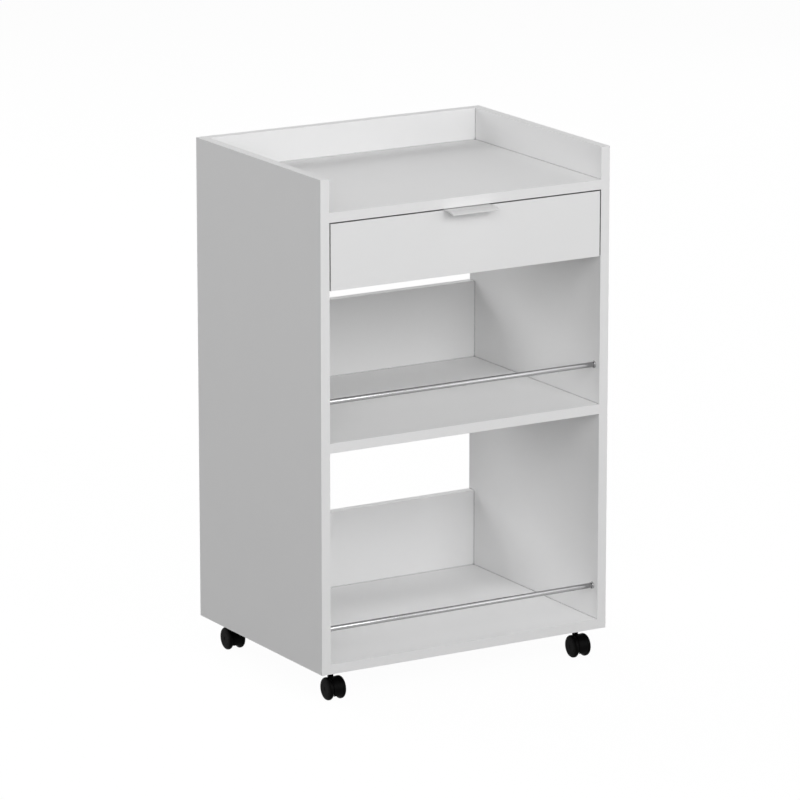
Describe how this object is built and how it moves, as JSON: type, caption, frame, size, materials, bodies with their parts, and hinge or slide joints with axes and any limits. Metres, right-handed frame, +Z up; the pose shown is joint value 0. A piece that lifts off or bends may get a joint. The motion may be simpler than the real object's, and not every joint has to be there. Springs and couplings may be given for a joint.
{
  "type": "microwave cart",
  "caption": "Open white melamine cart on twin-wheel casters, with a rimmed top tray for a microwave, a drawer with an edge pull, and two shelves behind chromed rail rods.",
  "frame": {"origin": "on the floor, under the middle of the footprint with the drawer pull counted in", "axes": "+Z up, front faces -Y, +X to the right seen from the front"},
  "size_m": [0.5, 0.402, 0.7975],
  "materials": {
    "melamine_white": "white melamine-faced particle board, satin",
    "hardboard_white": "white painted hardboard, matt",
    "chromed_rod": "chromed steel, polished",
    "white_steel": "white powder coat",
    "white_pull": "white powder coat, satin",
    "zinc_steel": "zinc plated",
    "black_steel": "black coated steel",
    "beech_dowel": "beech, unfinished",
    "nylon_white": "natural white nylon",
    "nylon_black": "black nylon, satin"
  },
  "bodies": {
    "case": {"side_panel_left": "melamine_white", "side_panel_right": "melamine_white", "top_board": "melamine_white", "middle_shelf": "melamine_white", "bottom_board": "melamine_white", "gallery_back_board": "melamine_white", "middle_back_board": "melamine_white", "lower_back_board": "melamine_white", "upper_rail": "chromed_rod", "lower_rail": "chromed_rod", "rail_rings": "chromed_rod", "cam_discs": "zinc_steel", "cam_bolts": "zinc_steel", "back_board_dowels": "beech_dowel", "back_board_screws": "zinc_steel", "runner_channel_left": "white_steel", "runner_channel_right": "white_steel", "channel_screws": "zinc_steel", "front_roller_pins": "zinc_steel", "caster_socket_front_left": "zinc_steel", "caster_socket_front_right": "zinc_steel", "caster_socket_back_left": "zinc_steel", "caster_socket_back_right": "zinc_steel"},
    "drawer": {"drawer_front": "melamine_white", "drawer_side_left": "melamine_white", "drawer_side_right": "melamine_white", "drawer_back": "melamine_white", "drawer_bottom_panel": "hardboard_white", "drawer_dowels": "beech_dowel", "drawer_screws": "zinc_steel", "drawer_pull": "white_pull", "pull_screws": "zinc_steel", "runner_track_left": "white_steel", "runner_track_right": "white_steel", "track_screws": "zinc_steel", "rear_roller_pins": "zinc_steel"},
    "front_roller_left": {"front_roller_left": "nylon_white"},
    "rear_roller_left": {"rear_roller_left": "nylon_white"},
    "front_roller_right": {"front_roller_right": "nylon_white"},
    "rear_roller_right": {"rear_roller_right": "nylon_white"},
    "caster_front_left": {"caster_front_left_housing": "nylon_black", "caster_front_left_stem": "black_steel", "caster_front_left_axle": "zinc_steel"},
    "caster_front_left_wheel_left": {"caster_front_left_wheel_left": "nylon_black"},
    "caster_front_left_wheel_right": {"caster_front_left_wheel_right": "nylon_black"},
    "caster_front_right": {"caster_front_right_housing": "nylon_black", "caster_front_right_stem": "black_steel", "caster_front_right_axle": "zinc_steel"},
    "caster_front_right_wheel_left": {"caster_front_right_wheel_left": "nylon_black"},
    "caster_front_right_wheel_right": {"caster_front_right_wheel_right": "nylon_black"},
    "caster_back_left": {"caster_back_left_housing": "nylon_black", "caster_back_left_stem": "black_steel", "caster_back_left_axle": "zinc_steel"},
    "caster_back_left_wheel_left": {"caster_back_left_wheel_left": "nylon_black"},
    "caster_back_left_wheel_right": {"caster_back_left_wheel_right": "nylon_black"},
    "caster_back_right": {"caster_back_right_housing": "nylon_black", "caster_back_right_stem": "black_steel", "caster_back_right_axle": "zinc_steel"},
    "caster_back_right_wheel_left": {"caster_back_right_wheel_left": "nylon_black"},
    "caster_back_right_wheel_right": {"caster_back_right_wheel_right": "nylon_black"}
  },
  "joints": [
    {"name": "drawer_slide", "type": "slide", "parent": "case", "child": "drawer", "axis": [0, -1, 0], "range_m": [0, 0.22]},
    {"name": "front_roller_left_spin", "type": "hinge", "parent": "case", "child": "front_roller_left", "pos_m": [-0.229, -0.145, 0.6455], "axis": [1, 0, 0], "range_deg": [0, 1330]},
    {"name": "rear_roller_left_spin", "type": "hinge", "parent": "drawer", "child": "rear_roller_left", "pos_m": [-0.229, 0.127, 0.647], "axis": [1, 0, 0], "range_deg": [0, 1330]},
    {"name": "front_roller_right_spin", "type": "hinge", "parent": "case", "child": "front_roller_right", "pos_m": [0.229, -0.145, 0.6455], "axis": [1, 0, 0], "range_deg": [0, 1330]},
    {"name": "rear_roller_right_spin", "type": "hinge", "parent": "drawer", "child": "rear_roller_right", "pos_m": [0.229, 0.127, 0.647], "axis": [1, 0, 0], "range_deg": [0, 1330]},
    {"name": "caster_front_left_swivel", "type": "hinge", "parent": "case", "child": "caster_front_left", "pos_m": [-0.2165, -0.1405, 0.0475], "axis": [0, 0, 1], "continuous": true},
    {"name": "caster_front_left_wheel_left_spin", "type": "hinge", "parent": "caster_front_left", "child": "caster_front_left_wheel_left", "pos_m": [-0.2165, -0.1489, 0.0175], "axis": [1, 0, 0], "continuous": true},
    {"name": "caster_front_left_wheel_right_spin", "type": "hinge", "parent": "caster_front_left", "child": "caster_front_left_wheel_right", "pos_m": [-0.2165, -0.1489, 0.0175], "axis": [1, 0, 0], "continuous": true},
    {"name": "caster_front_right_swivel", "type": "hinge", "parent": "case", "child": "caster_front_right", "pos_m": [0.2165, -0.1405, 0.0475], "axis": [0, 0, 1], "continuous": true},
    {"name": "caster_front_right_wheel_left_spin", "type": "hinge", "parent": "caster_front_right", "child": "caster_front_right_wheel_left", "pos_m": [0.2165, -0.1489, 0.0175], "axis": [1, 0, 0], "continuous": true},
    {"name": "caster_front_right_wheel_right_spin", "type": "hinge", "parent": "caster_front_right", "child": "caster_front_right_wheel_right", "pos_m": [0.2165, -0.1489, 0.0175], "axis": [1, 0, 0], "continuous": true},
    {"name": "caster_back_left_swivel", "type": "hinge", "parent": "case", "child": "caster_back_left", "pos_m": [-0.2165, 0.1675, 0.0475], "axis": [0, 0, 1], "continuous": true},
    {"name": "caster_back_left_wheel_left_spin", "type": "hinge", "parent": "caster_back_left", "child": "caster_back_left_wheel_left", "pos_m": [-0.2165, 0.1591, 0.0175], "axis": [1, 0, 0], "continuous": true},
    {"name": "caster_back_left_wheel_right_spin", "type": "hinge", "parent": "caster_back_left", "child": "caster_back_left_wheel_right", "pos_m": [-0.2165, 0.1591, 0.0175], "axis": [1, 0, 0], "continuous": true},
    {"name": "caster_back_right_swivel", "type": "hinge", "parent": "case", "child": "caster_back_right", "pos_m": [0.2165, 0.1675, 0.0475], "axis": [0, 0, 1], "continuous": true},
    {"name": "caster_back_right_wheel_left_spin", "type": "hinge", "parent": "caster_back_right", "child": "caster_back_right_wheel_left", "pos_m": [0.2165, 0.1591, 0.0175], "axis": [1, 0, 0], "continuous": true},
    {"name": "caster_back_right_wheel_right_spin", "type": "hinge", "parent": "caster_back_right", "child": "caster_back_right_wheel_right", "pos_m": [0.2165, 0.1591, 0.0175], "axis": [1, 0, 0], "continuous": true}
  ],
  "couplings": [
    {"joint": "front_roller_left_spin", "follows": "drawer_slide", "rad_per_m": 105.26},
    {"joint": "rear_roller_left_spin", "follows": "drawer_slide", "rad_per_m": 105.26},
    {"joint": "front_roller_right_spin", "follows": "drawer_slide", "rad_per_m": 105.26},
    {"joint": "rear_roller_right_spin", "follows": "drawer_slide", "rad_per_m": 105.26}
  ]
}
